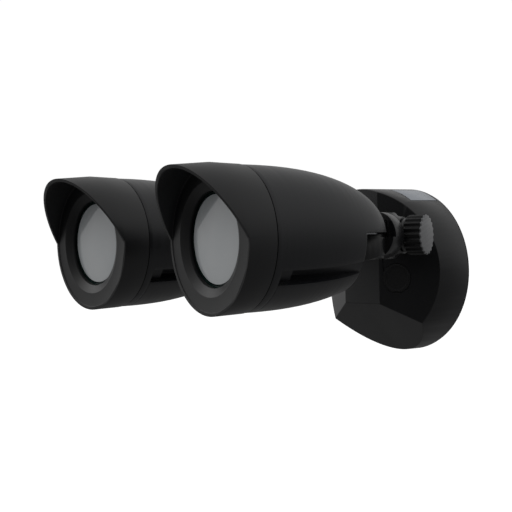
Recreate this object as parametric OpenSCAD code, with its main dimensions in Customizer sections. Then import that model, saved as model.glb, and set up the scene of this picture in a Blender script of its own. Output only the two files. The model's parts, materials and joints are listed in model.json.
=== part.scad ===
// Twin-head wall security floodlight: a faceted round wall base carries two
// bullet-shaped lamp heads on clamped knuckles.
// Millimetres. Origin: centre of the wall face. -Y points away from the wall, +Z up.

/* [Base] */
// Outer diameter of the wall base
base_d = 120; // [110:1:140]
// Distance from the wall to the front strip of the base
base_depth = 50; // [44:0.5:60]
// Half-width of the flat front strip
strip_half = 18.6; // [14:0.2:24]
// Height of the front strip's lower end, measured from the base centre
strip_low = -21.7; // [-28:0.2:-16]
// Slope of the two side facets, which the knuckles stand square to
facet_angle = 26; // [22:0.5:30]
// Slope of the lower facet
chin_angle = 45.6; // [38:0.2:50]
// Wall thickness of the plastic mouldings
wall = 3; // [2.4:0.1:4]
// Thickness of the foam wall pad
pad_t = 1.5; // [1:0.1:3]
// Spacing of the two wall fixing holes
fixing_pitch = 88.9; // [82:0.1:92]

/* [Head] */
// Outer diameter of the front hood at the lens ring
head_d = 91.8; // [84:0.2:100]
// Length of a head from the lens ring to the tail
head_l = 127; // [115:1:140]
// Reach of the visor beyond the lens ring
visor_reach = 24.8; // [16:0.2:32]
// Length of the hood's sleeve behind the lens ring
sleeve_l = 19.5; // [16:0.5:24]
// Visible diameter of the frosted glass
glass_d = 58.2; // [50:0.2:64]
// Distance from the lens ring to the vertical turning pin
pin_back = 118; // [106:1:130]
// Distance from the step under the tail to the turning pin
step_ahead = 27; // [20:1:38]
// Toe-in of the right head at rest
toe_right = 3.8; // [0:0.1:6]
// Toe-in of the left head at rest
toe_left = 1.7; // [0:0.1:6]

/* [Knuckle] */
// Distance of each arm's root from the base centre line
root_x = 34.9; // [32:0.1:38]
// Height of the knuckles above the base centre
root_z = 25.2; // [22:0.1:28]
// Distance from the side facet to the tilt bolt
arm_l = 47.7; // [44:0.1:60]
// Distance from the tilt bolt to the end of a head's tail, square to the facet
reach = 28; // [25:0.5:37]
// Sideways offset of the turning pin along the tilt bolt
pin_side = 6; // [4:0.1:9]
// Radius of the round knuckle
hub_r = 15.4; // [13:0.1:17]
// Radius of the tilt bolt
bolt_r = 4; // [3:0.1:5]
// Radius of the ribbed clamp knob
knob_r = 13.3; // [11:0.1:16]
// Length of the clamp knob
knob_l = 13; // [10:0.2:18]

/* [Hidden] */
$fn = 96;
eps = 0.01;
big = 400;
run = 0.06;            // radial clearance of a running fit
seat = 0.15;           // gap between close-fitting mouldings

base_r = base_d / 2;
head_r = head_d / 2;
glass_r = glass_d / 2;
rim_y = -pad_t;                       // where the cover meets the pad
plate_t = 2.5;                        // steel back plate
plate_y = rim_y - plate_t;            // front of the back plate
sf = sin(facet_angle);
cf = cos(facet_angle);
sc = sin(chin_angle);
cc = cos(chin_angle);
facet_c = strip_half * sf + base_depth * cf;   // side facet's distance from the origin
chin_c = base_depth * cc - strip_low * sc;     // lower facet's distance from the origin

// turning pin and tail step, measured from the lens ring
tail_past = head_l - pin_back;         // length of tail behind the turning pin
pin_reach = reach + tail_past;         // tilt bolt to turning pin, square to the facet
step_back = pin_back - step_ahead;
step_top = 2;                         // ceiling of the step under the tail

// root of the arm on the side facet, and the tilt bolt's centre
root_y = -(facet_c - root_x * sf) / cf;
hinge_x = root_x + arm_l * sf;
hinge_y = root_y - arm_l * cf;
pin_x = hinge_x + pin_side * cf + pin_reach * sf;
pin_y = hinge_y + pin_side * sf - pin_reach * cf;

// head profile
hood_back_r = head_r - 0.7;
body_r = head_r - 1.1;
visor_tip_r = head_r - 1.8;
body_l = head_l - sleeve_l;
body_n = 2.31;                        // squareness of the bullet curve
ring_r = head_r * 0.752;              // inner edge of the flat lens ring
lens_r = glass_r + 2.1;
visor_t = 2.3;                        // thickness of the visor's wall
lip = 0.5;                            // rim standing proud of the flat lens ring
lens_y = 6;
lens_t = 3;
gasket_t = 1.4;
flange_y = lens_y + lens_t + gasket_t;
board_y = 24;
board_t = 1.6;
sink_y = board_y + board_t;
sink_t = 4;
ledge_y = sink_y + sink_t;
sink_r = head_r * 0.795;
led_t = 1;
pocket = 4;                           // depth of the chin cover's seat
slot_r = head_r - 10.4;               // floor of the side slots
slot_y = 36;                          // where the slots reach that floor
seam = 0.7;                           // groove between hood and housing
pocket_top = 25.5;                    // pocket edges, degrees below horizontal
pocket_low = 38.7;
chin_y = 25.3;

// knuckle, measured along the tilt bolt
ear_in = 1.6;
ear_out = 12;
neck_out = 19;
collar_in = 19.2;
collar_out = 22;
knob_in = 22.3;
knob_out = knob_in + knob_l;
arm_in = -9.5;
arm_out = 0.5;
arm_r = 8.5;
arm_ear_r = 13;
flange_r = 12.5;
shank_r = 7;
pin_r = 3;
tongue_top = step_top - 1;            // the thrust washer fills the last millimetre
cup_gap = 3.8;                         // tail's end to the knuckle's cupped face
cup_back = tail_past + cup_gap;        // turning pin to the cupped face
bracket_front = -(pin_reach + 23);     // ahead of all of the bracket

// cover screws under the round plugs
plug_r = 10.5;
plug_x = 30.6;
plug_z = -5.3;
plug_y = -(facet_c - plug_x * sf) / cf;
post_r = 7.5;

// cable entry
entry_z = -45;
entry_r = 5;

// blank label on the rim
label_a0 = 12;
label_a1 = 33;
label_y0 = -30;
label_y1 = -4;

// ---------- placing ----------

// Turns a part drawn along +Z to lie along +Y
module along_y() rotate([-90, 0, 0]) children();

// Turns a part drawn along +Z to lie along +X
module along_x() rotate([0, 90, 0]) children();

// Cylinder along Y from y0 to y1
module rod_y(r, y0, y1) translate([0, y0, 0]) along_y() cylinder(r = r, h = y1 - y0);

// Cylinder along X from x0 to x1
module rod_x(r, x0, x1) translate([x0, 0, 0]) along_x() cylinder(r = r, h = x1 - x0);

// Box between two corners
module block(a, b) translate(a) cube(b - a);

// Knuckle frame: origin on the tilt bolt, +X along the bolt, +Y towards the base
module knuckle_r() translate([hinge_x, hinge_y, root_z]) rotate([0, 0, facet_angle]) children();
module knuckle_l() mirror([1, 0, 0]) knuckle_r() children();

// Head frame: origin in the lens ring's front plane, +Y towards the tail
module head_at(toe) translate([pin_x, pin_y, root_z]) rotate([0, 0, -toe])
  translate([0, -pin_back, 0]) children();
module head_frame_r() head_at(toe_right) children();
module head_frame_l() mirror([1, 0, 0]) head_at(toe_left) children();

// Side facet frame: origin at the screw plug, +Z outwards
module plug_place() translate([plug_x, plug_y, plug_z]) rotate([0, 0, facet_angle])
  rotate([90, 0, 0]) children();

module both_sides() {
  children();
  mirror([1, 0, 0]) children();
}

// ---------- base ----------

// The faceted drum, drawn in by t on every outer face and open to the wall at y_back
module base_form(t, y_back) {
  r = base_r - t;
  fc = facet_c - t;
  front = -(base_depth - t);
  edge_x = (fc + front * cf) / sf;
  side_y = -(fc - big * sf) / cf;
  plan = [[-edge_x, front], [edge_x, front], [big, side_y], [big, big], [-big, big], [-big, side_y]];
  cn = chin_c - t;
  low_z = (cn + front * cc) / -sc;
  low_y = -(cn + (-big) * sc) / cc;
  side = [[front - 1, big], [front - 1, low_z - cc / sc], [low_y, -big], [big, -big], [big, big]];
  intersection() {
    rod_y(r, front, y_back);
    translate([0, 0, -big]) linear_extrude(2 * big) polygon(plan);
    translate([-big, 0, 0]) rotate([90, 0, 90]) linear_extrude(2 * big) polygon(side);
  }
}

module cover() color("#2b2c2e") {
  difference() {
    union() {
      difference() {
        base_form(0, rim_y);
        translate([0, eps, 0]) base_form(wall, rim_y + eps);
      }
      intersection() {
        base_form(0, plate_y);
        both_sides() {
          translate([plug_x, -base_depth, plug_z]) along_y() cylinder(r = post_r, h = base_depth + plate_y);
          plug_place() translate([0, 0, -6.5]) cylinder(r = plug_r + 2.2, h = 6.5);
        }
      }
    }
    both_sides() {
      plug_place() translate([0, 0, -3]) cylinder(r = plug_r, h = 6);
      translate([plug_x, -base_depth, plug_z]) along_y() cylinder(r = 4.6, h = base_depth - 18);
      translate([plug_x, -base_depth, plug_z]) along_y() cylinder(r = 2.2, h = base_depth);
      knuckle_r() rod_y(shank_r + run, arm_l - 8, arm_l + 12);
    }
    label_form(base_r - 0.6, base_r + 5, 0);
  }
}

// Curved tile on the rim between two radii, shrunk by g all round
module label_form(r0, r1, g) {
  da = g / base_r * 57.3;
  n = 4;
  fan = [for (i = [0:n]) let (a = label_a0 + da + i * (label_a1 - label_a0 - 2 * da) / n)
    [big * sin(a), big * cos(a)]];
  intersection() {
    difference() {
      rod_y(r1, label_y0 + g, label_y1 - g);
      rod_y(r0, label_y0 - 1, label_y1 + 1);
    }
    translate([0, 10, 0]) rotate([90, 0, 0]) linear_extrude(80) polygon(concat([[0, 0]], fan));
  }
}

module label() color("#a9adb3") label_form(base_r - 0.57, base_r + 0.1, 0.2);

module fixing_holes(r) for (s = [-1, 1]) translate([s * fixing_pitch / 2, -20, 0]) along_y()
  cylinder(r = r, h = 40);

module wall_pad() color("#151515") difference() {
  intersection() {
    base_form(0.6, 0);
    block([-big, rim_y, -big], [big, 0, big]);
  }
  fixing_holes(2.6);
  translate([0, 0, entry_z]) rod_y(8.2, -10, 10);
}

module back_plate() color("#b4b7ba") difference() {
  intersection() {
    base_form(wall + 0.6, rim_y);
    block([-big, plate_y, -big], [big, rim_y, big]);
  }
  fixing_holes(2.4);
  translate([0, 0, entry_z]) rod_y(7, -10, 10);
  both_sides() translate([plug_x, 0, plug_z]) rod_y(1.95, -10, 10);
}

module cable_grommet() color("#1c1c1c") translate([0, 0, entry_z]) difference() {
  union() {
    rod_y(6.9, plate_y - 2, -0.2);
    rod_y(9, plate_y - 2, plate_y);
    rod_y(8, rim_y, -0.2);
  }
  rod_y(entry_r, -20, 10);
}

module screw_plugs() color("#1d1e20") both_sides() plug_place() translate([0, 0, -2.9])
  difference() {
    cylinder(r = plug_r - 0.12, h = 3.2);
    translate([0, 0, 2.7]) cylinder(r = plug_r - 2.4, h = 2);
  }

// Pan-head screw along +Y: head behind y = 0, shank in front, cross recess in the head
module screw(head_r, head_h, shank_r, shank_l) difference() {
  union() {
    rod_y(head_r, -head_h, 0);
    rod_y(shank_r, -eps, shank_l);
  }
  for (a = [0, 90]) rotate([0, a, 0]) block([-head_r * 0.6, -head_h - 1, -head_r * 0.12],
    [head_r * 0.6, -head_h * 0.45, head_r * 0.12]);
}

module cover_screws() color("#8d9094") both_sides()
  translate([plug_x, -18, plug_z]) screw(4.2, 2.8, 1.9, 16.4);

// Driver case below the centre line, with cooling ribs along the front
driver_w = 46;
driver_top = -8;
driver_low = -33;
driver_front = -29;
module driver_box() color("#3a3d42") difference() {
  union() {
    block([-driver_w / 2, driver_front, driver_low], [driver_w / 2, plate_y, driver_top]);
    for (x = [-driver_w / 2 + 3:6:driver_w / 2 - 3])
      block([x - 1, driver_front - 1.4, driver_low + 3], [x + 1, driver_front + eps, driver_top - 3]);
  }
  for (s = [-1, 1]) translate([s * (driver_w / 2 - 3), 0, driver_top - 4]) rod_y(1.2, -60, driver_front + 6);
}

pcb_w = 40;
pcb_low = 2;
pcb_top = 42;
pcb_y = -13;
module post_points() for (x = [-1, 1], z = [0, 1])
  translate([x * (pcb_w / 2 - 4), 0, z == 0 ? pcb_low + 4 : pcb_top - 4]) children();

module board_posts() color("#c9b26a") post_points() rod_y(2.6, pcb_y, plate_y);

module control_board() color("#1e5a3a") difference() {
  block([-pcb_w / 2, pcb_y - 1.6, pcb_low], [pcb_w / 2, pcb_y, pcb_top]);
  post_points() rod_y(1.4, pcb_y - 5, pcb_y + 5);
}

// Relay, storage capacitor, coil and a row of small parts
module board_parts() color("#35506e") {
  face = pcb_y - 1.6;
  block([-14, face - 11, 24], [2, face, 38]);
  translate([9, 0, 31]) rod_y(5, face - 13, face);
  translate([0, 0, 15]) difference() {
    rod_y(6, face - 8, face);
    rod_y(2.4, face - 9, face - 1);
  }
  for (x = [-14:5:-9]) block([x, face - 2, 12], [x + 3, face, 18]);
  for (x = [9:5:14]) block([x, face - 2, 12], [x + 3, face, 18]);
}

module terminal_block() color("#d9d9d2") difference() {
  block([-15, pcb_y - 11, -7], [15, plate_y, 1]);
  for (x = [-10, 0, 10]) {
    translate([x, 0, -3]) rod_y(2.6, -40, pcb_y - 6);
    translate([x, pcb_y, -8]) cylinder(r = 1.8, h = 20);
  }
}

// ---------- knuckle (drawn in the knuckle frame) ----------

module arm() color("#26272a") difference() {
  union() {
    rod_x(arm_ear_r, arm_in, arm_out);
    block([arm_in, 0, -arm_r], [arm_out, 20, arm_r]);
    rod_y(arm_r, 17, arm_l - 3);
    translate([0, 17, 0]) sphere(r = arm_r);
    rod_y(flange_r, arm_l - 4.5, arm_l - 1.5);
    rod_y(shank_r, arm_l - 4.5, arm_l + 14);
  }
  rod_x(bolt_r + run, arm_in - 1, arm_out + 12);
  rod_x(hub_r + 0.8, arm_out, arm_out + 20);
  rod_y(3, 24, arm_l + 20);
}

module arm_seal() color("#161616") difference() {
  rod_y(flange_r - 0.5, arm_l - 1.5, arm_l - 0.1);
  rod_y(shank_r + 0.02, arm_l - 5, arm_l + 5);
}

module lock_nut() color("#aeb1b5") difference() {
  translate([0, arm_l + wall + 0.1, 0]) along_y() {
    cylinder(r = 11, h = 1);
    translate([0, 0, 1]) cylinder(r = 10.6, h = 5, $fn = 6);
  }
  rod_y(shank_r + 0.02, arm_l, arm_l + 20);
}

// Toothed disc between the arm's ear and the head bracket's ear
module friction_disc() color("#8f9398") difference() {
  union() {
    rod_x(arm_ear_r - 0.5, arm_out, arm_out + 0.7);
    for (a = [0:15:345]) rotate([a, 0, 0]) block([arm_out, 7, -0.5], [arm_out + 1, 12, 0.5]);
  }
  rod_x(bolt_r + run, 0, 5);
}

module hinge_bolt() color("#9a9da1") {
  difference() {
    rod_x(7, arm_in - 4, arm_in);
    rod_x(3, arm_in - 5, arm_in - 2);
  }
  rod_x(bolt_r, arm_in - eps, knob_out - 3);
}

module collar() color("#1b1c1e") difference() {
  rod_x(11.1, collar_in, collar_out);
  rod_x(bolt_r + run, collar_in - 1, collar_out + 1);
}

rib_n = 20;
cap_t = 1.2;
// Round bar from x0 to x3, with rounded ribs from x1 to x2
module ribbed(x0, x1, x2, x3) {
  rod_x(knob_r - 1, x0, x3);
  for (i = [0:rib_n - 1]) rotate([i * 360 / rib_n, 0, 0])
    translate([0, knob_r - 1.1, 0]) rod_x(1.1, x1, x2);
}

module knob() color("#232427") difference() {
  ribbed(knob_in, knob_in + 0.6, knob_out - cap_t - 0.1, knob_out - cap_t);
  rod_x(bolt_r + run, knob_in - 1, knob_out - 2.9);
}

// Flat end plate that follows the ribs
module knob_cap() color("#8c8f92") ribbed(knob_out - cap_t, knob_out - cap_t, knob_out, knob_out);

// Centre line of the bracket's round barrel, beside the tilt bolt
barrel_x = 10;
barrel_back = -(hub_r + 1.8);
// Middle of the upright ribs, from where the barrel's centre line meets the cupped face
rib_mid = (barrel_x - pin_side - sf * cup_back) / cf + 3.293;

// Half-space behind the cupped face, which stands square to the straight-ahead head
module behind_cup() translate([pin_side, -pin_reach, 0]) rotate([0, 0, -facet_angle])
  block([-60, cup_back, -60], [60, 120, 60]);

module bracket_neck() along_x() translate([0, 0, ear_out - eps]) rotate_extrude()
  polygon([[0, 0], [hub_r, 0], [13.9, 1.2], [13, 2.8], [12.5, 4.6],
    [12.3, neck_out - ear_out], [0, neck_out - ear_out]]);

module bracket() color("#242528") difference() {
  union() {
    rod_x(hub_r, ear_in, ear_out);
    block([ear_in, barrel_back - 1, -hub_r], [ear_out, 0, hub_r]);
    bracket_neck();
    translate([barrel_x, 0, 0]) intersection() {
      rod_y(hub_r, bracket_front, barrel_back);
      translate([-barrel_x, 0, 0]) behind_cup();
    }
    // tongue under the tail, rounded about the turning pin
    intersection() {
      translate([barrel_x, 0, 0]) rod_y(hub_r, bracket_front, barrel_back);
      block([-60, bracket_front, -60], [60, 0, -1]);
      union() {
        translate([pin_side, -pin_reach, -60]) cylinder(r = 13.5, h = 80);
        block([pin_side - 20, -pin_reach, -60], [60, 0, 60]);
      }
    }
    // round pad that the tail turns on
    translate([pin_side, -pin_reach, -hub_r + 1]) cylinder(r = 12, h = hub_r - 1 + tongue_top);
    // upright ribs on the cupped face
    translate([pin_side, -pin_reach, 0]) rotate([0, 0, -facet_angle])
      for (x = [-7.5:3:7.5])
        block([rib_mid + x - 0.7, cup_back - 1, -9], [rib_mid + x + 0.7, cup_back + 2, 10]);
  }
  rod_x(bolt_r + run, -20, 40);
  translate([pin_side, -pin_reach, -60]) cylinder(r = pin_r + run, h = 100);
  translate([pin_side, -pin_reach, -hub_r - 1]) cylinder(r = 6.4, h = 5);
  // keep the barrel clear of the arm's ear
  rod_x(arm_ear_r + 2.2, -30, ear_in - eps);
}

module pin_washer() color("#b9bcc0") translate([pin_side, -pin_reach, tongue_top]) difference() {
  cylinder(r = 9, h = 0.9);
  translate([0, 0, -1]) cylinder(r = pin_r + 0.12, h = 4);
}

// ---------- head (drawn in the head frame) ----------

function bullet(u) = body_r * pow(1 - pow(u, body_n), 1 / body_n);
steps = 24;
function stations(n) = [for (i = [0:n]) sin(i * 90 / n)];
function body_at(y) = bullet((y - sleeve_l) / body_l);

// Bullet-shaped solid from y0 on, drawn in by t
module bullet_form(t, y0) {
  l = body_l - t;
  pts = [for (u = stations(steps)) [max(bullet(u) * (1 - t / body_r), 0), sleeve_l + u * l]];
  intersection() {
    translate([0, 0, 0]) along_y() rotate_extrude()
      polygon(concat([[0, 0], [body_r - t, 0]], pts));
    block([-big, y0, -big], [big, big, big]);
  }
}

// Wedge of space below the head's axis, half-angle a each side of straight down
module low_wedge(a, y0, y1) translate([0, y1, 0]) rotate([90, 0, 0]) linear_extrude(y1 - y0)
  polygon(concat([[0, 0]], [for (i = [-4:4]) [big * sin(i * a / 4), -big * cos(i * a / 4)]]));

half_top = 90 - pocket_top;
half_low = 90 - pocket_low;

// Space of both side slots from y0 on, down to radius r, made a degrees wider each way
module slot_band(a, y0, r) difference() {
  low_wedge(half_top + a, y0, big);
  low_wedge(half_low - a, y0 - 1, big + 1);
  rod_y(r, -1, big + 1);
}

module housing() color("#2a2b2e") difference() {
  union() {
    difference() {
      bullet_form(0, sleeve_l + seam);
      difference() {
        bullet_form(wall, 0);
        block([-big, step_back - wall, -big], [big, big, step_top + wall]);
        low_wedge(half_top + 3.5, chin_y - 3.3, step_back);
      }
      // hollow of the lower half, inside the slots and the chin cover's seat
      difference() {
        intersection() {
          bullet_form(pocket + wall, 0);
          low_wedge(half_top + 4, -1, step_back - wall);
        }
        slot_band(4, slot_y - wall, slot_r - wall - 0.3);
      }
    }
    rod_y(head_r - 3.5, 12, sleeve_l + seam + 0.1);
    translate([0, pin_back, step_top]) cylinder(r = 7, h = 12);
    // ledge for the heat sink
    intersection() {
      rod_y(head_r - 3.5, ledge_y, ledge_y + 2.5);
      bullet_form(1, 0);
    }
  }
  // seat of the chin cover, and the two side slots beside it
  difference() {
    union() {
      low_wedge(half_low + 0.2, chin_y, big);
      low_wedge(half_top, chin_y, slot_y);
    }
    bullet_form(pocket, 0);
  }
  slot_band(0, slot_y - eps, slot_r);
  // open step under the tail
  block([-big, step_back, -big], [big, big, step_top]);
  // bore for the light engine, and the way through the ledge
  rod_y(head_r - 6, 0, chin_y - 1);
  intersection() {
    rod_y(sink_r + 0.1, 0, ledge_y);
    bullet_form(wall, 0);
  }
  rod_y(32.6, 0, ledge_y + 3);
  translate([0, pin_back, step_top - 1]) cylinder(r = pin_r + 0.05, h = 11);
  sink_points() rod_y(1.3, 0, ledge_y + 2);
  chin_points() cylinder(r = 1.35, h = 12);
}

module sink_points() for (a = [30, 150, 270]) rotate([0, a, 0]) translate([34.4, 0, 0]) children();
// Screw places under the chin cover, at the depth of the bullet's surface
module chin_points() for (y = [chin_y + 14.7, step_back - 17]) translate([0, y, -body_at(y)]) children();

module chin() color("#242529") difference() {
  intersection() {
    difference() {
      bullet_form(0, chin_y);
      bullet_form(pocket - seat, 0);
    }
    low_wedge(half_low, chin_y + 0.1, step_back);
  }
  chin_points() translate([0, 0, -2]) cylinder(r = 1.6, h = 12);
  chin_points() translate([0, 0, -6]) cylinder(r = 3.4, h = 8.1);
}

module chin_screws() color("#8d9094") chin_points() translate([0, 0, 2.1])
  rotate([90, 0, 0]) screw(3.1, 1.5, 1.3, 7);

module turning_pin() color("#8f9296") translate([0, pin_back, 0]) difference() {
  union() {
    translate([0, 0, -hub_r + 0.2]) cylinder(r = 6, h = 3.6);
    translate([0, 0, -hub_r + 1]) cylinder(r = pin_r, h = hub_r + 10);
  }
  translate([0, 0, -hub_r - 1]) cylinder(r = 2.5, h = 3.4, $fn = 6);
}

// Hood: lens ring, sleeve and sloping visor, turned as one and cut along the visor's slope
module hood() color("#1f2023") {
  tip_z = -visor_reach;
  difference() {
    along_y() rotate_extrude() polygon([
      [ring_r, lip], [head_r - visor_t, lip], [visor_tip_r - visor_t, tip_z], [visor_tip_r, tip_z],
      [head_r, 0], [hood_back_r, sleeve_l], [head_r - 3.3, sleeve_l], [head_r - 3.3, 3.2],
      [ring_r + 3.2, 3.2], [lens_r + 2.6, 5.5], [lens_r + 2.6, 12], [lens_r + seat, 12],
      [lens_r + seat, lens_y], [glass_r, lens_y], [glass_r, 2.8 + lip]]);
    translate([-big, 0, 0]) rotate([90, 0, 90]) linear_extrude(2 * big)
      polygon([[0, 0], [3 * tip_z, 3 * visor_tip_r], [-big, 3 * visor_tip_r], [-big, -big], [0, -big]]);
  }
}

module lens() color("#9fa8a2") rod_y(lens_r, lens_y, lens_y + lens_t);

module lens_gasket() color("#141414") difference() {
  rod_y(lens_r, lens_y + lens_t, flange_y);
  rod_y(lens_r - 3.6, lens_y, flange_y + 1);
}

module reflector() color("#e4e5e2") along_y() rotate_extrude() polygon([
  [27.2, flange_y], [lens_r, flange_y], [lens_r, flange_y + 1.2], [28.4, flange_y + 1.2],
  [20.4, board_y], [19.2, board_y]]);

module led_board() color("#e9e9e4") difference() {
  rod_y(sink_r, board_y, sink_y);
  sink_points() rod_y(1.5, 0, 60);
}

module leds() color("#e6d36a") for (x = [-1:1], z = [-1:1])
  translate([x * 9, 0, z * 9]) block([-2.5, board_y - led_t, -2.5], [2.5, board_y, 2.5]);

module heat_sink() color("#a4a8ac") difference() {
  union() {
    rod_y(sink_r, sink_y, ledge_y);
    intersection() {
      rod_y(28, ledge_y - eps, ledge_y + 26);
      for (x = [-24:6:24]) block([x - 1, ledge_y - eps, -30], [x + 1, ledge_y + 26, 30]);
    }
  }
  sink_points() rod_y(1.5, 0, 60);
}

module sink_screws() color("#8d9094") sink_points() translate([0, board_y, 0])
  screw(1.9, 1.4, 1.25, 7);

// ---------- assembly ----------

cover();
back_plate();
wall_pad();
driver_box();
control_board();
board_parts();
board_posts();
terminal_block();
screw_plugs();
cover_screws();
cable_grommet();
label();

knuckle_r() arm();  // arm_right
knuckle_r() arm_seal();  // arm_seal_right
knuckle_r() lock_nut();  // lock_nut_right
knuckle_r() friction_disc();  // friction_disc_right
knuckle_r() hinge_bolt();  // hinge_bolt_right
knuckle_r() collar();  // collar_right
knuckle_r() knob();  // knob_right
knuckle_r() knob_cap();  // knob_cap_right
knuckle_r() bracket();  // bracket_right
knuckle_r() pin_washer();  // pin_washer_right
head_frame_r() turning_pin();  // turning_pin_right
head_frame_r() housing();  // housing_right
head_frame_r() chin();  // chin_right
head_frame_r() chin_screws();  // chin_screws_right
head_frame_r() hood();  // hood_right
head_frame_r() lens();  // lens_right
head_frame_r() lens_gasket();  // lens_gasket_right
head_frame_r() reflector();  // reflector_right
head_frame_r() led_board();  // led_board_right
head_frame_r() leds();  // leds_right
head_frame_r() heat_sink();  // heat_sink_right
head_frame_r() sink_screws();  // sink_screws_right

knuckle_l() arm();  // arm_left
knuckle_l() arm_seal();  // arm_seal_left
knuckle_l() lock_nut();  // lock_nut_left
knuckle_l() friction_disc();  // friction_disc_left
knuckle_l() hinge_bolt();  // hinge_bolt_left
knuckle_l() collar();  // collar_left
knuckle_l() knob();  // knob_left
knuckle_l() knob_cap();  // knob_cap_left
knuckle_l() bracket();  // bracket_left
knuckle_l() pin_washer();  // pin_washer_left
head_frame_l() turning_pin();  // turning_pin_left
head_frame_l() housing();  // housing_left
head_frame_l() chin();  // chin_left
head_frame_l() chin_screws();  // chin_screws_left
head_frame_l() hood();  // hood_left
head_frame_l() lens();  // lens_left
head_frame_l() lens_gasket();  // lens_gasket_left
head_frame_l() reflector();  // reflector_left
head_frame_l() led_board();  // led_board_left
head_frame_l() leds();  // leds_left
head_frame_l() heat_sink();  // heat_sink_left
head_frame_l() sink_screws();  // sink_screws_left
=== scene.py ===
"""Looks of a twin-head wall security floodlight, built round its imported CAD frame.

The wall base stands on the plane Y = 0 and the lamp heads point along -Y. Lengths are metres.
"""

import json
import logging
import math
from contextlib import contextmanager
from dataclasses import dataclass, field
from enum import Enum
from typing import Any, Iterator, Sequence

import bpy
from mathutils import Matrix, Vector


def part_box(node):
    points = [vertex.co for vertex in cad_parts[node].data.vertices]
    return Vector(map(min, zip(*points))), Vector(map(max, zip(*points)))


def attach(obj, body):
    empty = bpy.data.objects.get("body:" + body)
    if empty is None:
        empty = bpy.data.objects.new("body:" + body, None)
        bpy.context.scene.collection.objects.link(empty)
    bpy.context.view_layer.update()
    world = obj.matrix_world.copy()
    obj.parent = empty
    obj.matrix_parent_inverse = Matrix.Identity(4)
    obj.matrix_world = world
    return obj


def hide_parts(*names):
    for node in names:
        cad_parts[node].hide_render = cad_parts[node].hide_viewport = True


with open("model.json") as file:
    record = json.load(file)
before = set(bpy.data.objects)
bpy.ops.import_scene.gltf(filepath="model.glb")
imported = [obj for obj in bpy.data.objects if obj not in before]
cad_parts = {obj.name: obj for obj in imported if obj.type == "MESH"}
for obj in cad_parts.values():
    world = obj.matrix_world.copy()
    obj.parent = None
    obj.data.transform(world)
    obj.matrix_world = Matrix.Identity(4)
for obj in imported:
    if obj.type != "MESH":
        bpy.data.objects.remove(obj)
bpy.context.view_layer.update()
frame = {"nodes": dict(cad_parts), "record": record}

log = logging.getLogger("floodlight")
logging.basicConfig(level=logging.INFO, format="%(message)s")

MM = 0.001
Point = tuple[float, float, float]
Colour = tuple[float, float, float]


class Side(Enum):
    """The two lamp heads, named for someone facing the wall."""

    RIGHT = "right"
    LEFT = "left"

    @property
    def sign(self) -> int:
        """+1 on the +X side and -1 on the other."""
        return 1 if self is Side.RIGHT else -1

    def node(self, name: str) -> str:
        """Name of this side's CAD node or body."""
        return f"{name}_{self.value}"


# ---------------------------------------------------------------- shader maths


class Wire:
    """A node output that can be used in Python arithmetic."""

    def __init__(self, graph: "Graph", socket: Any) -> None:
        """Keeps the graph and the output socket."""
        self.graph = graph
        self.socket = socket

    def _math(self, operation: str, a: Any, b: Any) -> "Wire":
        """One Math node.

        Args:
            operation: the node's operation.
            a: first value or wire.
            b: second value or wire.

        Returns:
            The node's result.
        """
        return self.graph.add("ShaderNodeMath", {"operation": operation}, {0: a, 1: b})

    def __add__(self, other: Any) -> "Wire":
        """self + other."""
        return self._math("ADD", self, other)

    __radd__ = __add__

    def __sub__(self, other: Any) -> "Wire":
        """self - other."""
        return self._math("SUBTRACT", self, other)

    def __rsub__(self, other: Any) -> "Wire":
        """other - self."""
        return self._math("SUBTRACT", other, self)

    def __mul__(self, other: Any) -> "Wire":
        """self * other."""
        return self._math("MULTIPLY", self, other)

    __rmul__ = __mul__

    def __truediv__(self, other: Any) -> "Wire":
        """self / other."""
        return self._math("DIVIDE", self, other)


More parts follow.
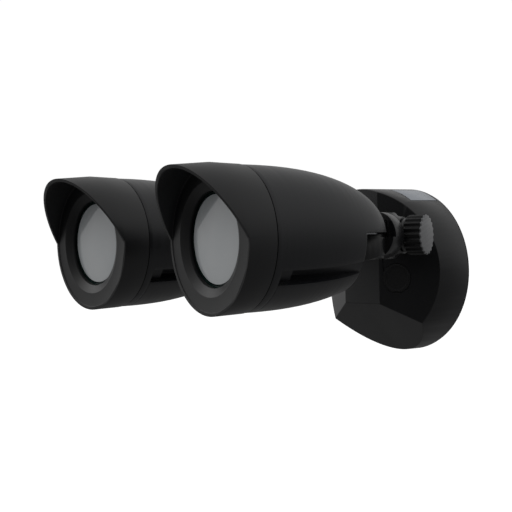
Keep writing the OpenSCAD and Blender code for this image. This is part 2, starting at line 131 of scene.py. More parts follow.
class Graph:
    """A material's node tree, with one way of adding nodes."""

    def __init__(self, name: str) -> None:
        """Makes an empty material of that name."""
        self.material = bpy.data.materials.new(name)
        self.material.use_nodes = True
        self.tree = self.material.node_tree
        self.tree.nodes.clear()

    def add(self, kind: str, settings: dict[str, Any], sockets: dict[Any, Any],
            out: Any = 0) -> Wire:
        """Adds a node of any kind.

        Args:
            kind: the node's type name.
            settings: its properties, and "stops" for a ramp.
            sockets: values or wires for its inputs, by name or index.
            out: which output to return.

        Returns:
            The chosen output.
        """
        node = self.tree.nodes.new(kind)
        for key, value in settings.items():
            if key == "stops":
                self._stops(node.color_ramp, value)
            else:
                setattr(node, key, value)
        for key, value in sockets.items():
            if isinstance(value, Wire):
                self.tree.links.new(value.socket, node.inputs[key])
            else:
                node.inputs[key].default_value = value
        return Wire(self, node.outputs[out])

    @staticmethod
    def _stops(ramp: Any, stops: Sequence[tuple[float, Colour]]) -> None:
        """Sets a colour ramp's stops."""
        while len(ramp.elements) < len(stops):
            ramp.elements.new(0.5)
        for element, (place, colour) in zip(ramp.elements, stops):
            element.position = place
            element.color = (*colour, 1)

    def place(self, stretch: Point = (1, 1, 1), turn: Point = (0, 0, 0),
              shift: Point = (0, 0, 0)) -> Wire:
        """Object coordinates through a Mapping node.

        Args:
            stretch: scale along each axis.
            turn: rotation in radians.
            shift: location.

        Returns:
            The mapped vector.
        """
        where = self.add("ShaderNodeTexCoord", {}, {}, "Object")
        return self.add("ShaderNodeMapping", {},
                        {"Vector": where, "Scale": stretch, "Rotation": turn,
                                                 "Location": shift})

    def noise(self, scale: float, detail: float = 2, rough: float = 0.5, where: Wire | None = None,
              warp: float = 0) -> Wire:
        """Noise from 0 to 1 at so many features to the metre."""
        return self.add("ShaderNodeTexNoise", {}, {"Vector": where or self.place(), "Scale": scale,
                        "Detail": detail, "Roughness": rough, "Distortion": warp}, 0)

    def fit(self, value: Wire, low: float, high: float, to_low: float = 0,
            to_high: float = 1) -> Wire:
        """Maps a range of values to another, clamped and smooth."""
        return self.add("ShaderNodeMapRange", {"interpolation_type": "SMOOTHSTEP"},
                        {"Value": value, "From Min": low, "From Max": high, "To Min": to_low,
                         "To Max": to_high})

    def blend(self, factor: Any, a: Any, b: Any) -> Wire:
        """Mixes two colours."""
        fix = [(*c, 1) if isinstance(c, tuple) and len(c) == 3 else c for c in (a, b)]
        return self.add("ShaderNodeMix", {"data_type": "RGBA"}, {0: factor, 6: fix[0], 7: fix[1]},
                        2)

    def bump(self, height: Wire, depth: float, strength: float = 1.0,
             under: Wire | None = None) -> Wire:
        """A Bump node with that depth in metres."""
        sockets = {"Height": height, "Distance": depth, "Strength": strength}
        if under is not None:
            sockets["Normal"] = under
        return self.add("ShaderNodeBump", {}, sockets)

    def surface(self, **sockets: Any) -> Wire:
        """A Principled shader; underscores in the names stand for spaces."""
        return self.add("ShaderNodeBsdfPrincipled", {},
                        {k.replace("_", " "): v for k, v in sockets.items()})

    def close(self, shader: Wire) -> Any:
        """Wires the shader to the output and returns the material."""
        node = self.tree.nodes.new("ShaderNodeOutputMaterial")
        self.tree.links.new(shader.socket, node.inputs["Surface"])
        return self.material


# ---------------------------------------------------------------- finishes


MADE: dict[str, Any] = {}


@dataclass(frozen=True)
class Finish:
    """A surface finish. Subclasses draw it."""

    name: str

    def draw(self) -> Any:
        """Builds the material."""
        raise NotImplementedError

    def material(self) -> Any:
        """The finish's material, made once."""
        if self.name not in MADE:
            MADE[self.name] = self.draw()
        return MADE[self.name]


@dataclass(frozen=True)
class Moulding(Finish):
    """Spark-eroded plastic: fine grain, faint flow marks, handling scuffs and a little dust."""

    colour: Colour
    worn: Colour
    roughness: float = 0.42
    grain: float = 2400
    depth: float = 0.000006
    scuff: float = 0.5
    dust: float = 0.12
    streaks: Point = (0, 0, 0)
    shine: float = 0.5

    def draw(self) -> Any:
        """Builds the material."""
        g = Graph(self.name)
        flow = g.noise(14, 3, 0.55, g.place((1, 0.35, 1)), 0.6)
        fine = g.noise(self.grain, 2, 0.6)
        cells = g.add("ShaderNodeTexVoronoi", {"feature": "F1"},
                      {"Vector": g.place(), "Scale": self.grain * 0.6})
        hair = g.noise(420, 4, 0.7, g.place((1, 0.06, 0.9), (0.2, 0.1, 0.5)), 0.2)
        scratch = g.fit(hair, 0.62, 0.72) * g.fit(g.noise(26, 2), 0.5, 0.66) * self.scuff
        up = g.add("ShaderNodeSeparateXYZ", {},
                   {0: g.add("ShaderNodeNewGeometry", {}, {}, "Normal")}, 2)
        settled = g.fit(up, 0.35, 1.0) * g.fit(g.noise(60, 5, 0.65), 0.42, 0.7) * self.dust
        tone = g.blend(g.fit(flow, 0.3, 0.7) * 0.5, self.colour, self.worn)
        tone = g.blend(scratch * 0.5, tone, tuple(c * 1.7 for c in self.worn))
        tone = g.blend(settled * 0.16, tone, (0.17, 0.165, 0.155))
        rough = g.fit(flow, 0.25, 0.75, self.roughness - 0.05,
                      self.roughness + 0.06) + scratch * 0.16 + settled * 0.14
        if any(self.streaks):
            streak = g.noise(1, 3, 0.65, g.place(self.streaks))
            tone = g.blend(g.fit(streak, 0.4, 0.75) * 0.35, tone, tuple(c * 2.4 for c in self.worn))
            rough = rough + g.fit(streak, 0.35, 0.7) * 0.07
            fine = fine + streak * 1.5
        skin = g.bump(fine + cells * 0.6, self.depth, 0.55)
        skin = g.bump(1 - scratch, 0.000008, 0.5, skin)
        return g.close(g.surface(Base_Color=tone, Roughness=rough, Normal=skin,
                                 Specular_IOR_Level=self.shine))


@dataclass(frozen=True)
class Metal(Finish):
    """Plated, turned or die-cast metal with fine lines and dulled patches."""

    colour: Colour
    roughness: float = 0.34
    lines: Point = (60, 1400, 1400)
    patches: float = 55
    metallic: float = 1.0

    def draw(self) -> Any:
        """Builds the material."""
        g = Graph(self.name)
        line = g.noise(1, 3, 0.6, g.place(self.lines))
        patch = g.noise(self.patches, 4, 0.6, warp=0.8)
        tone = g.blend(g.fit(patch, 0.4, 0.7) * 0.45, self.colour,
                       tuple(c * 0.62 for c in self.colour))
        rough = g.fit(patch, 0.3, 0.75, self.roughness - 0.06, self.roughness + 0.14)
        skin = g.bump(line + g.noise(2600, 2) * 0.4, 0.00002, 0.4)
        return g.close(g.surface(Base_Color=tone, Roughness=rough, Normal=skin,
                                 Metallic=self.metallic))


@dataclass(frozen=True)
class Rubber(Finish):
    """Moulded rubber or foam with open pores and a dusty bloom."""

    colour: Colour
    pores: float = 900
    depth: float = 0.0001
    roughness: float = 0.78

    def draw(self) -> Any:
        """Builds the material."""
        g = Graph(self.name)
        pore = g.add("ShaderNodeTexVoronoi", {"feature": "F1"},
                     {"Vector": g.place(), "Scale": self.pores})
        bloom = g.noise(90, 5, 0.6)
        tone = g.blend(g.fit(bloom, 0.45, 0.8) * 0.5, self.colour,
                       tuple(c * 2.2 + 0.004 for c in self.colour))
        rough = g.fit(bloom, 0.3, 0.7, self.roughness - 0.06, self.roughness + 0.1)
        return g.close(g.surface(Base_Color=tone, Roughness=rough,
                                 Normal=g.bump(pore, self.depth, 0.6),
                                 Specular_IOR_Level=0.35))


@dataclass(frozen=True)
class FrostedGlass(Finish):
    """Acid-frosted grey-green glass under a smooth outer face."""

    colour: Colour
    deep: Colour
    low: float = 0.3
    high: float = 0.42

    def draw(self) -> Any:
        """Builds the material."""
        g = Graph(self.name)
        frost = g.noise(1500, 3, 0.7)
        cloud = g.noise(28, 3, 0.5)
        smear = g.noise(60, 3, 0.6, g.place((1, 1, 0.25), (0, 0.5, 0)), 0.7)
        tone = g.blend(g.fit(cloud, 0.3, 0.75) * 0.5 + frost * 0.12, self.colour, self.deep)
        rough = g.fit(smear, 0.35, 0.75, self.low, self.high)
        return g.close(g.surface(Base_Color=tone, Roughness=rough,
                                 Normal=g.bump(frost, 0.000008, 0.35),
                                 Coat_Weight=1.0, Coat_Roughness=0.05, Coat_IOR=1.5, IOR=1.5))


@dataclass(frozen=True)
class Board(Finish):
    """Circuit board mask with faint tracks and solder pads."""

    colour: Colour
    track: Colour

    def draw(self) -> Any:
        """Builds the material."""
        g = Graph(self.name)
        brick = g.add("ShaderNodeTexBrick", {"offset": 0.5},
                      {"Vector": g.place(), "Scale": 160, "Mortar Size": 0.03,
                      "Color1": (0, 0, 0, 1), "Color2": (0, 0, 0, 1), "Mortar": (1, 1, 1, 1)},
                      "Fac")
        pads = g.add("ShaderNodeTexVoronoi", {"feature": "F1"}, {"Vector": g.place(), "Scale": 230})
        dots = g.fit(pads, 0.12, 0.18, 1, 0)
        tone = g.blend(brick * 0.35 + dots * 0.3, self.colour, self.track)
        rough = g.fit(g.noise(70, 3), 0.3, 0.7, 0.3, 0.45)
        return g.close(g.surface(Base_Color=tone, Roughness=rough,
                                 Normal=g.bump(brick + dots, 0.00004, 0.6)))


@dataclass(frozen=True)
class Paint(Finish):
    """Smooth printed or painted surface with fine speckle, as on a plate or a trim disc."""

    colour: Colour
    speck: Colour
    roughness: float = 0.36
    metallic: float = 0.0
    swirl: bool = False

    def draw(self) -> Any:
        """Builds the material."""
        g = Graph(self.name)
        speckle = g.noise(3200, 2, 0.7)
        broad = g.noise(45, 4, 0.6)
        tone = g.blend(g.fit(speckle, 0.45, 0.7) * 0.4 + g.fit(broad, 0.4, 0.75) * 0.3,
                       self.colour, self.speck)
        rough = g.fit(broad, 0.3, 0.7, self.roughness - 0.05, self.roughness + 0.1)
        lines = g.noise(1, 2, 0.5, g.place((900, 900, 60))) if self.swirl else speckle
        return g.close(g.surface(Base_Color=tone, Roughness=rough, Metallic=self.metallic,
                                 Normal=g.bump(lines, 0.000015, 0.5)))


class Finishes:
    """Every finish on the floodlight."""

    satin = Moulding("satin_black_moulding", (0.0032, 0.0034, 0.0043), (0.006, 0.0064, 0.0078),
                     0.38)
    drawn = Moulding("satin_black_head", (0.003, 0.0033, 0.0044), (0.006, 0.0066, 0.0085), 0.36,
                     streaks=(8, 900, 8))
    matt = Moulding("matt_black_moulding", (0.0026, 0.0028, 0.0036), (0.0045, 0.0048, 0.006), 0.42)
    hub = Moulding("knuckle_black_moulding", (0.0045, 0.0047, 0.0054), (0.008, 0.0083, 0.0095),
                   0.34)
    grip = Moulding("knob_black_moulding", (0.003, 0.0031, 0.0036), (0.006, 0.0062, 0.007), 0.46,
                    scuff=0.5, shine=0.3)
    white = Moulding("white_moulding", (0.72, 0.72, 0.69), (0.62, 0.62, 0.58), 0.5, dust=0.1)
    case = Moulding("driver_case_moulding", (0.05, 0.053, 0.06), (0.075, 0.08, 0.09), 0.5)
    parts = Moulding("component_cases", (0.03, 0.06, 0.13), (0.05, 0.085, 0.16), 0.3, dust=0.05)
    rubber = Rubber("black_rubber", (0.010, 0.010, 0.0105))
    foam = Rubber("black_foam", (0.012, 0.012, 0.012), 600, 0.0002, 0.9)
    zinc = Metal("zinc_plate", (0.52, 0.53, 0.55), 0.32)
    cast = Metal("die_cast_aluminium", (0.56, 0.57, 0.58), 0.46, (900, 900, 900), 80)
    brass = Metal("turned_brass", (0.62, 0.46, 0.2), 0.28)
    glass = FrostedGlass("frosted_glass", (0.60, 0.635, 0.655), (0.68, 0.70, 0.71))
    glass_edge = FrostedGlass("ground_glass_edge", (0.02, 0.045, 0.04), (0.03, 0.06, 0.055), 0.12,
                              0.2)
    trim = Paint("grey_knob_disc", (0.15, 0.152, 0.158), (0.21, 0.212, 0.218), 0.34, 0.25, True)
    plate = Paint("blank_label_face", (0.36, 0.385, 0.42), (0.44, 0.465, 0.5), 0.34, 0.35)
    board = Board("green_board", (0.012, 0.09, 0.045), (0.05, 0.2, 0.1))
    lamp_board = Board("white_board", (0.78, 0.78, 0.75), (0.6, 0.6, 0.5))
    phosphor = Paint("led_phosphor", (0.75, 0.6, 0.12), (0.85, 0.72, 0.25), 0.3)


# ---------------------------------------------------------------- modelling by hand


class Bench:
    """Small helpers round Blender's own modelling operators."""

    @staticmethod
    def clear() -> None:
        """Leaves object mode active and nothing selected."""
        if bpy.context.object and bpy.context.object.mode != "OBJECT":
            bpy.ops.object.mode_set(mode="OBJECT")
        bpy.ops.object.select_all(action="DESELECT")

    @staticmethod
    def take(obj: Any) -> Any:
        """Makes obj the only selected and the active object, and returns it."""
        Bench.clear()
        obj.select_set(True)
        bpy.context.view_layer.objects.active = obj
        return obj

    @staticmethod
    def made(name: str) -> Any:
        """Names the primitive just added and returns it."""
        obj = bpy.context.object
        obj.name = obj.data.name = name
        return obj

    @staticmethod
    @contextmanager
    def editing(obj: Any, kind: str = "FACE") -> Iterator[Any]:
        """Edit mode on obj, selecting vertices, edges or faces."""
        Bench.take(obj)
        bpy.ops.object.mode_set(mode="EDIT")
        bpy.ops.mesh.select_mode(type=kind)
        yield obj
        bpy.ops.object.mode_set(mode="OBJECT")

    @staticmethod
    def modify(obj: Any, kind: str, **settings: Any) -> Any:
        """Adds a modifier and applies it.

        Args:
            obj: the piece.
            kind: the modifier's type.
            settings: its properties.

        Returns:
            The piece.
        """
        Bench.take(obj)
        modifier = obj.modifiers.new(kind.title(), kind)
        for key, value in settings.items():
            setattr(modifier, key, value)
        bpy.ops.object.modifier_apply(modifier=modifier.name)
        return obj

    @staticmethod
    def carve(obj: Any, *tools: Any) -> Any:
        """Cuts each tool's solid out of obj and removes the tools."""
        for tool in tools:
            Bench.modify(obj, "BOOLEAN", object=tool, operation="DIFFERENCE", solver="EXACT")
            bpy.data.objects.remove(tool)
        return obj

    @staticmethod
    def soften(obj: Any, width: float, segments: int = 2, angle: float = 32) -> Any:
        """Rounds every edge sharper than angle and smooths the shading."""
        Bench.modify(obj, "BEVEL", width=width, segments=segments, limit_method="ANGLE",
                     angle_limit=math.radians(angle), miter_outer="MITER_ARC",
                     use_clamp_overlap=True)
        return Bench.smooth(obj)

    @staticmethod
    def smooth(obj: Any, angle: float = 38) -> Any:
        """Smooth shading but for edges sharper than angle."""
        Bench.take(obj)
        bpy.ops.object.shade_smooth_by_angle(angle=math.radians(angle))
        return obj

    @staticmethod
    def tidy(obj: Any, gap: float = 1e-6) -> Any:
        """Merges doubles and points every face outwards."""
        with Bench.editing(obj, "VERT"):
            bpy.ops.mesh.select_all(action="SELECT")
            bpy.ops.mesh.remove_doubles(threshold=gap)
            bpy.ops.mesh.normals_make_consistent(inside=False)
        return obj

    @staticmethod
    def put(obj: Any, place: Matrix) -> Any:
        """Moves the mesh itself, so that the object stays at the origin."""
        obj.data.transform(place)
        if place.determinant() < 0:
            obj.data.flip_normals()
        obj.data.update()
        return obj

    @staticmethod
    def turned(name: str, outline: Sequence[tuple[float, float]], steps: int = 96) -> Any:
        """A closed outline of (radius, height) pairs spun round Z.

        Args:
            name: the piece's name.
            outline: points in order; those at radius 0 close on the axis.
            steps: facets in a full turn.

        Returns:
            The new object.
        """
        Bench.clear()
        bpy.ops.mesh.primitive_plane_add(size=0.001)
        obj = Bench.made(name)
        with Bench.editing(obj, "VERT"):
            bpy.ops.mesh.select_all(action="SELECT")
            bpy.ops.mesh.merge(type="CENTER")
            r, z = outline[0]
            bpy.ops.transform.translate(value=(r, 0, z))
            for (r0, z0), (r1, z1) in zip(outline, outline[1:]):
                bpy.ops.mesh.extrude_region_move(TRANSFORM_OT_translate={"value": (r1 - r0, 0,
                                                                                   z1 - z0)})
            bpy.ops.mesh.select_all(action="SELECT")
            if outline[0][0] > 0 or outline[-1][0] > 0:
                bpy.ops.mesh.edge_face_add()
                bpy.ops.mesh.delete(type="ONLY_FACE")
                bpy.ops.mesh.select_all(action="SELECT")
            bpy.ops.mesh.spin(steps=steps, angle=2 * math.pi, center=(0, 0, 0), axis=(0, 0, 1))
            bpy.ops.mesh.select_all(action="SELECT")
            bpy.ops.mesh.remove_doubles(threshold=1e-6)
            bpy.ops.mesh.normals_make_consistent(inside=False)
        return obj

    @staticmethod
    def drum(name: str, radius: float, length: float, sides: int = 64) -> Any:
        """A cylinder standing on Z = 0."""
        Bench.clear()
        bpy.ops.mesh.primitive_cylinder_add(vertices=sides, radius=radius, depth=length)
        return Bench.put(Bench.made(name), Matrix.Translation((0, 0, length / 2)))

    @staticmethod
    def brick(name: str, low: Point, high: Point) -> Any:
        """A box between two corners."""
        Bench.clear()
        bpy.ops.mesh.primitive_cube_add(size=1)
        size = Vector(high) - Vector(low)
        middle = (Vector(high) + Vector(low)) / 2
        return Bench.put(Bench.made(name), Matrix.Translation(middle) @ Matrix.Diagonal((*size, 1)))

    @staticmethod
    def join(name: str, pieces: Sequence[Any]) -> Any:
        """Joins objects into the first one."""
        Bench.take(pieces[0])
        for piece in pieces[1:]:
            piece.select_set(True)
        bpy.ops.object.join()
        obj = bpy.context.object
        obj.name = obj.data.name = name
        return obj

    @staticmethod
    def copied(obj: Any, name: str, place: Matrix) -> Any:
        """A copy with its own mesh, moved by place."""
        twin = obj.copy()
        twin.data = obj.data.copy()
        twin.name = twin.data.name = name
        bpy.context.scene.collection.objects.link(twin)
        return Bench.put(twin, place)


def rounded(outline: Sequence[tuple[float, float, float]],
            arc: int = 4) -> list[tuple[float, float]]:
    """Rounds the corners of a closed outline.

    Args:
        outline: (radius, height, corner radius) triples.
        arc: segments on each rounded corner.

    Returns:
        Plain (radius, height) pairs.
    """
    points: list[tuple[float, float]] = []
    count = len(outline)
    for i, (x, y, r) in enumerate(outline):
        here = Vector((x, y))
        if r <= 0:
            points.append((x, y))
            continue
        before = (Vector(outline[i - 1][:2]) - here).normalized()
        after = (Vector(outline[(i + 1) % count][:2]) - here).normalized()
        half = before.angle(after) / 2
        reach = r / math.tan(half)
        centre = here + (before + after).normalized() * (r / math.sin(half))
        start = here + before * reach - centre
        end = here + after * reach - centre
        sweep = start.angle_signed(end)
        for k in range(arc + 1):
            turn = Matrix.Rotation(-sweep * k / arc, 2)
            points.append(tuple(centre + turn @ start))
    return points


def finish(obj: Any, material: Finish) -> Any:
    """Gives a piece one material."""
    obj.data.materials.clear()
    obj.data.materials.append(material.material())
    return obj


def report(obj: Any, body: str, *replaced: str) -> None:
    """Rides a piece on its body, hides the CAD nodes it stands for and logs it."""
    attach(obj, body)
    if replaced:
        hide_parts(*replaced)
    log.info("piece %s on %s (%d faces)", obj.name, body, len(obj.data.polygons))


def dress(node: str, material: Finish, width: float = 0.0, angle: float = 40) -> None:
    """Dresses a CAD node, with rounded edges if a width is given.

    Args:
        node: the node's name.
        material: its finish.
        width: radius of the rounded edges.
        angle: edges sharper than this are rounded.
    """
    obj = frame["nodes"][node]
    for slot in obj.material_slots:
        slot.material = material.material()
    if width > 0:
        weld = obj.modifiers.new("Weld", "WELD")
        weld.merge_threshold = 1e-6
        bevel = obj.modifiers.new("Bevel", "BEVEL")
        bevel.width = width
        bevel.segments = 2
        bevel.limit_method = "ANGLE"
        bevel.angle_limit = math.radians(angle)
        bevel.use_clamp_overlap = True
        bevel.harden_normals = True
    log.info("node %s: %s", node, material.name)


# ---------------------------------------------------------------- studio


@dataclass
class Studio:
    """Floor, soft light and the camera."""

    target: Point = (0.0, -0.101, 0.0)
    azimuth: float = 53.23
    elevation: float = 0.62
    roll: float = -1.44
    distance: float = 0.8373
    aside: float = -0.0361
    above: float = 0.0133
    lens: float = 83.4
    floor_z: float = -0.36
    bright: Point = (-0.12, -0.06, 1.0)
    falloff: tuple[float, float, float, float] = (-0.35, 0.35, 0.18, 0.6)
    card: Point = (0.0, -1.0, -0.05)
    card_fade: tuple[float, float, float, float] = (0.5, 0.95, 1.0, 0.3)

    def camera(self) -> None:
        """Sets the camera at the viewing angle."""
        az, el, roll = (math.radians(v) for v in (self.azimuth, self.elevation, self.roll))
        back = Vector((math.sin(az) * math.cos(el), -math.cos(az) * math.cos(el), math.sin(el)))
        right = Vector((math.cos(az), math.sin(az), 0))
        up = back.cross(right)
        place = Vector(self.target) + right * self.aside + up * self.above + back * self.distance
        rolled = right * math.cos(roll) + up * math.sin(roll)
        upright = up * math.cos(roll) - right * math.sin(roll)
        data = bpy.data.cameras.new("camera")
        data.lens = self.lens
        data.sensor_width = 36
        data.clip_start = 0.01
        data.clip_end = 60
        camera = bpy.data.objects.new("camera", data)
        camera.matrix_world = Matrix.Translation(place) @ Matrix((rolled, upright,
                                                                  back)).transposed().to_4x4()
        bpy.context.scene.collection.objects.link(camera)
        bpy.context.scene.camera = camera

    def floor(self) -> None:
        """A plain pale floor."""
        Bench.clear()
        bpy.ops.mesh.primitive_plane_add(size=30, location=(0, 0, 0))
        floor = Bench.made("studio_floor")
        Bench.put(floor, Matrix.Translation((0, 0, self.floor_z)))
        g = Graph("studio_floor")
        cloud = g.noise(2, 2)
        tone = g.blend(cloud * 0.1, (0.93, 0.93, 0.93), (0.9, 0.9, 0.9))
        floor.data.materials.append(g.close(g.surface(Base_Color=tone, Roughness=0.9,
                                                      Specular_IOR_Level=0.1,
                                                      Emission_Color=tone, Emission_Strength=0.62)))
        floor.visible_diffuse = floor.visible_glossy = False

    def lamp(self, name: str, place: Point, size: float, power: float,
             tint: Colour = (1, 1, 1)) -> None:
        """A square soft box aimed at the floodlight."""
        data = bpy.data.lights.new(name, "AREA")
        data.shape = "SQUARE"
        data.size = size
        data.energy = power
        data.color = tint
        lamp = bpy.data.objects.new(name, data)
        aim = Vector((0, -0.12, 0)) - Vector(place)
        lamp.matrix_world = Matrix.Translation(place) @ aim.to_track_quat("-Z",
                                                                          "Y").to_matrix().to_4x4()
        bpy.context.scene.collection.objects.link(lamp)

    def light(self) -> None:
        """A white backdrop and soft surroundings: bright overhead, a dark card straight ahead."""
        world = bpy.data.worlds.new("studio")
        bpy.context.scene.world = world
        world.use_nodes = True
        tree = world.node_tree
        tree.nodes.clear()
        where = tree.nodes.new("ShaderNodeTexCoord")
        dot = tree.nodes.new("ShaderNodeVectorMath")
        dot.operation = "DOT_PRODUCT"
        dot.inputs[1].default_value = Vector(self.bright).normalized()
        ramp = tree.nodes.new("ShaderNodeMapRange")
        ramp.interpolation_type = "SMOOTHSTEP"
        for key, value in zip(("From Min", "From Max", "To Min", "To Max"), self.falloff):
            ramp.inputs[key].default_value = value
        ahead = tree.nodes.new("ShaderNodeVectorMath")
        ahead.operation = "DOT_PRODUCT"
        ahead.inputs[1].default_value = Vector(self.card).normalized()
        fade = tree.nodes.new("ShaderNodeMapRange")
        fade.interpolation_type = "SMOOTHSTEP"
        for key, value in zip(("From Min", "From Max", "To Min", "To Max"), self.card_fade):
            fade.inputs[key].default_value = value
        both = tree.nodes.new("ShaderNodeMath")
        both.operation = "MULTIPLY"
        seen = tree.nodes.new("ShaderNodeLightPath")
        pick = tree.nodes.new("ShaderNodeMix")
        pick.inputs[3].default_value = 1.02
        glow = tree.nodes.new("ShaderNodeBackground")
        glow.inputs["Color"].default_value = (1, 1, 1, 1)
        out = tree.nodes.new("ShaderNodeOutputWorld")
        tree.links.new(where.outputs["Generated"], dot.inputs[0])
        tree.links.new(dot.outputs["Value"], ramp.inputs["Value"])
        tree.links.new(seen.outputs["Is Camera Ray"], pick.inputs[0])
        tree.links.new(where.outputs["Generated"], ahead.inputs[0])
        tree.links.new(ahead.outputs["Value"], fade.inputs["Value"])
        tree.links.new(ramp.outputs[0], both.inputs[0])
        tree.links.new(fade.outputs[0], both.inputs[1])
        tree.links.new(both.outputs[0], pick.inputs[2])
        tree.links.new(pick.outputs[0], glow.inputs["Strength"])
        tree.links.new(glow.outputs[0], out.inputs["Surface"])
        self.lamp("key", (-1.3, -0.9, 0.9), 1.0, 3)

    def build(self) -> None:
        """Camera first, then the surroundings."""
        self.camera()
        self.floor()
        self.light()
        settings = bpy.context.scene.view_settings
        settings.view_transform = "Standard"
        settings.look = "None"
        settings.exposure = 0
        settings.gamma = 1


# ---------------------------------------------------------------- the floodlight


def axis_frame(origin: Vector, along: Vector) -> Matrix:
    """A frame at origin whose Z points along a level direction, with Y up.

    Args:
        origin: where the frame stands.
        along: the direction of its Z axis.

    Returns:
        The matrix that places a piece turned about Z.
    """
    z = along.normalized()
    y = Vector((0, 0, 1))
    x = y.cross(z)
    return Matrix.Translation(origin) @ Matrix((x, y, z)).transposed().to_4x4()


def joint_at(name: str) -> tuple[Vector, Vector]:
    """A joint's place and axis.

    Args:
        name: the joint.

    Returns:
        Its point and its direction.
    """
    for joint in frame["record"]["behaviour"]["joints"]:
        if joint["name"] == name:
            return Vector(joint["pos_m"]), Vector(joint["axis"])
    raise KeyError(name)


@dataclass
class WallBase:
    """The faceted drum on the wall and what it holds. Lengths in millimetres."""

    rounding: float = 1.1
    plug_radius: float = 10.38
    plug_x: float = 30.6
    plug_z: float = -5.3
    facet: float = 26.0
    body: str = "base"

    def plugs(self) -> None:
        """Two turned plugs with a rolled rim, a shallow dish and a thumbnail notch."""
        r = self.plug_radius
        outline = rounded([(0, -2.8, 0), (r - 0.7, -2.8, 0.4), (r - 0.35, -0.9, 0), (r, -0.7, 0.1),
                           (r, 0.3, 0.25),
                           (r - 1.7, 0.3, 0.5), (r - 2.5, -0.15, 0.3), (0, -0.25, 0)])
        blank = Bench.turned("plug_blank", [(x * MM, z * MM) for x, z in outline], 72)
        notch = Bench.brick("plug_notch", (-1.6 * MM, -(r + 1) * MM, -0.15 * MM),
                            (1.6 * MM, -(r - 1.1) * MM, 1 * MM))
        Bench.carve(blank, notch)
        Bench.soften(blank, 0.12 * MM, 2, 50)
        tilt = math.radians(self.facet)
        pieces = []
        for side in Side:
            out = Vector((side.sign * math.sin(tilt), -math.cos(tilt), 0))
            centre = Vector((side.sign * self.plug_x * MM, 0, self.plug_z * MM))
            centre.y = -self.plane_depth() * MM
            pieces.append(Bench.copied(blank, side.node("plug"), axis_frame(centre, out)))
        bpy.data.objects.remove(blank)
        plugs = finish(Bench.join("cover_screw_plugs", pieces), Finishes.rubber)
        report(plugs, self.body, "screw_plugs")

    def plane_depth(self) -> float:
        """Depth of the side facet at the plugs' place."""
        tilt = math.radians(self.facet)
        offset = 18.6 * math.sin(tilt) + 50 * math.cos(tilt)
        return (offset - self.plug_x * math.sin(tilt)) / math.cos(tilt)

    def build(self) -> None:
        """Makes the plugs and dresses the rest."""
        self.plugs()
        dress("cover", Finishes.satin, self.rounding * MM)
        dress("label", Finishes.plate, 0.2 * MM)
        dress("wall_pad", Finishes.foam, 0.3 * MM)
        dress("back_plate", Finishes.zinc, 0.2 * MM)
        dress("cable_grommet", Finishes.rubber, 0.4 * MM)
        dress("driver_box", Finishes.case, 0.5 * MM)
        dress("control_board", Finishes.board)
        dress("board_parts", Finishes.parts, 0.3 * MM)
        dress("board_posts", Finishes.brass)
        dress("terminal_block", Finishes.white, 0.3 * MM)
        dress("cover_screws", Finishes.zinc)


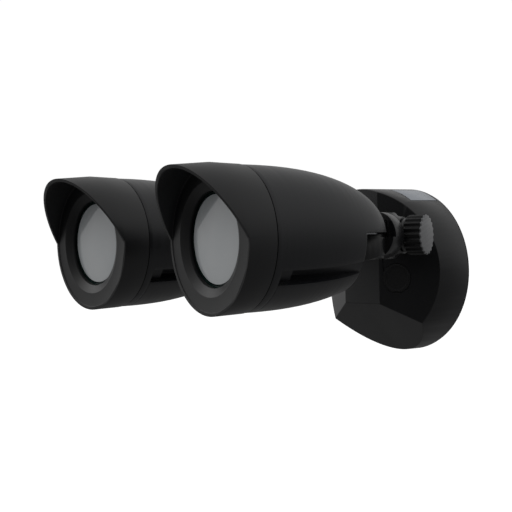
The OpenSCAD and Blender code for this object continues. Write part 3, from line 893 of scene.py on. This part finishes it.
@dataclass
class Knuckle:
    """Arm, bracket and clamp knob of one side. Lengths in millimetres."""

    side: Side
    edge: float = 0.7
    knob_start: float = 22.3
    knob_end: float = 35.3
    cap: float = 1.2
    ribs: int = 20
    rib_radii: tuple[float, ...] = (13.3, 13.19, 12.74, 12.25, 12.15, 12.25, 12.74, 13.19)

    def ribbed(self, name: str, low: float, high: float, ease: float) -> Any:
        """A round bar with rounded ribs.

        Args:
            name: the piece's name.
            low: where it starts along the bolt.
            high: where it ends.
            ease: radius of its rounded ends.

        Returns:
            The new object, along Z.
        """
        per = len(self.rib_radii)
        top = max(self.rib_radii)
        Bench.clear()
        bpy.ops.mesh.primitive_circle_add(vertices=self.ribs * per, radius=top * MM,
                                          fill_type="NGON",
                                          location=(0, 0, 0))
        bar = Bench.made(name)
        for k, radius in enumerate(self.rib_radii):
            if radius == top:
                continue
            mesh = bar.data
            for item in (*mesh.polygons, *mesh.edges):
                item.select = False
            for i, vertex in enumerate(mesh.vertices):
                vertex.select = i % per == k
            with Bench.editing(bar, "VERT"):
                scale = radius / top
                bpy.ops.transform.resize(value=(scale, scale, 1), center_override=(0, 0, 0))
        with Bench.editing(bar):
            bpy.ops.mesh.select_all(action="SELECT")
            bpy.ops.transform.translate(value=(0, 0, low * MM))
            bpy.ops.mesh.extrude_region_move(TRANSFORM_OT_translate={"value": (0, 0,
                                                                               (high - low) * MM)})
            bpy.ops.mesh.select_all(action="SELECT")
            bpy.ops.mesh.normals_make_consistent(inside=False)
        return Bench.soften(bar, ease * MM, 3, 60)

    def knob(self) -> None:
        """The ribbed clamp knob and its flat grey end plate."""
        place, axis = joint_at(self.side.node("knob_turn"))
        stand = axis_frame(place, axis)
        knob = self.ribbed(self.side.node("clamp_knob"), self.knob_start + 0.7,
                           self.knob_end - self.cap - 0.05, 0.35)
        neck = Bench.turned("knob_neck", [(x * MM, z * MM) for x, z in rounded([
            (4.3, self.knob_start, 0), (12.2, self.knob_start, 0.3),
            (12.2, self.knob_start + 0.9, 0),
            (4.3, self.knob_start + 0.9, 0)])], 80)
        bore = Bench.drum("knob_bore", 4.15 * MM, (self.knob_end - 3.2) * MM)
        Bench.carve(knob, bore)
        knob = Bench.join(self.side.node("clamp_knob"), [knob, neck])
        finish(Bench.smooth(Bench.put(knob, stand)), Finishes.grip)
        report(knob, self.side.node("knob"), self.side.node("knob"))
        plate = self.ribbed(self.side.node("knob_end_plate"), self.knob_end - self.cap,
                            self.knob_end, 0.3)
        finish(Bench.put(plate, stand), Finishes.trim)
        report(plate, self.side.node("knob"), self.side.node("knob_cap"))

    def build(self) -> None:
        """Makes the knob and dresses the rest."""
        node = self.side.node
        self.knob()
        dress(node("arm"), Finishes.hub, self.edge * MM)
        dress(node("arm_seal"), Finishes.rubber, 0.4 * MM)
        dress(node("lock_nut"), Finishes.zinc, 0.3 * MM)
        dress(node("friction_disc"), Finishes.zinc)
        dress(node("hinge_bolt"), Finishes.zinc, 0.3 * MM)
        dress(node("collar"), Finishes.hub, 0.4 * MM)
        dress(node("bracket"), Finishes.hub, 1.2 * MM)
        dress(node("pin_washer"), Finishes.zinc)


@dataclass
class LampHead:
    """One bullet-shaped head. Lengths in millimetres, from the lens ring's front plane."""

    side: Side
    ring: float = 34.52
    rim: float = 45.9
    back: float = 45.15
    tip: float = 44.1
    wall: float = 2.3
    visor: float = 24.8
    sleeve: float = 19.5
    lip: float = 0.5
    glass: float = 29.1
    lens: float = 31.2
    lens_front: float = 6.0
    lens_back: float = 9.0

    def stand(self) -> Matrix:
        """The head's own frame: Z runs back along the head, from the ring to the tail."""
        low, high = (Vector(v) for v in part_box(self.side.node("lens")))
        centre = (low + high) / 2
        pin, _ = joint_at(self.side.node("turn"))
        back = Vector((pin.x - centre.x, pin.y - centre.y, 0)).normalized()
        middle = (self.lens_front + self.lens_back) / 2 * MM
        return axis_frame(centre - back * middle, back)

    def glass_disc(self) -> None:
        """The frosted disc, with a ground bevel round its clear rim."""
        r, front, back = self.lens, self.lens_front, self.lens_back
        outline = rounded([(0, front, 0), (26.9, front + 0.02, 0.3), (28.2, front + 0.9, 0.2),
                           (r, front + 1.0, 0.15),
                           (r, back, 0.2), (0, back, 0)], 3)
        disc = Bench.turned(self.side.node("frosted_disc"), [(x * MM, z * MM) for x, z in outline],
                            144)
        Bench.put(disc, self.stand())
        Bench.smooth(disc, 30)
        finish(disc, Finishes.glass)
        disc.data.materials.append(Finishes.glass_edge.material())
        centre = self.stand().translation
        for face in disc.data.polygons:
            across = face.center - centre
            axis = (self.stand().to_3x3() @ Vector((0, 0, 1))).normalized()
            if (across - axis * across.dot(axis)).length > 26.95 * MM:
                face.material_index = 1
        report(disc, self.side.node("head"), self.side.node("lens"))

    def hood(self) -> None:
        """Lens ring, sleeve and sloping visor, turned in one and cut along the visor's slope."""
        rim, wall, lip = self.rim, self.wall, self.lip
        outline = rounded([
            (self.ring, lip, 0.35), (rim - wall, lip, 0.25), (self.tip - wall, -self.visor, 0),
            (self.tip, -self.visor, 0), (rim, 0, 0), (self.back, self.sleeve, 0.3),
            (rim - 3.3, self.sleeve, 0.2), (rim - 3.3, 3.2, 0), (self.ring + 3.2, 3.2, 0),
            (self.lens + 2.6, 5.5, 0), (self.lens + 2.6, 12, 0), (self.lens + 0.15, 12, 0),
            (self.lens + 0.15, self.lens_front, 0), (self.glass, self.lens_front, 0.15),
            (self.glass, 2.8 + lip, 0.3)], 3)
        hood = Bench.turned(self.side.node("visor_hood"), [(x * MM, z * MM) for x, z in outline],
                            180)
        cutter = Bench.brick("visor_slope", (-0.1, -0.2, -0.2), (0.1, 0.2, 0))
        slope = Vector((0, self.visor, self.tip)).normalized()
        with Bench.editing(cutter):
            bpy.ops.mesh.select_all(action="SELECT")
            bpy.ops.mesh.bisect(plane_co=(0, 0, 0), plane_no=slope, use_fill=True, clear_outer=True)
        Bench.carve(hood, cutter)
        Bench.tidy(hood)
        Bench.soften(hood, 0.45 * MM, 3, 34)
        Bench.put(hood, self.stand())
        finish(hood, Finishes.matt)
        report(hood, self.side.node("head"), self.side.node("hood"))

    def build(self) -> None:
        """Makes the hood and the glass, and dresses the rest."""
        node = self.side.node
        self.hood()
        self.glass_disc()
        dress(node("housing"), Finishes.drawn, 0.5 * MM)
        dress(node("chin"), Finishes.drawn, 0.5 * MM)
        dress(node("lens_gasket"), Finishes.rubber)
        dress(node("reflector"), Finishes.white)
        dress(node("led_board"), Finishes.lamp_board)
        dress(node("leds"), Finishes.phosphor)
        dress(node("heat_sink"), Finishes.cast)
        dress(node("sink_screws"), Finishes.zinc)
        dress(node("chin_screws"), Finishes.zinc)
        dress(node("turning_pin"), Finishes.zinc, 0.3 * MM)


@dataclass
class Floodlight:
    """The whole floodlight."""

    base: WallBase = field(default_factory=WallBase)

    def build(self) -> None:
        """Builds the base and both sides in order."""
        self.base.build()
        for side in Side:
            Knuckle(side).build()
            LampHead(side).build()


def main() -> None:
    """Builds the studio and the floodlight."""
    Studio().build()
    Floodlight().build()
    Bench.clear()
    bpy.context.view_layer.update()


if __name__ == "__main__":
    main()
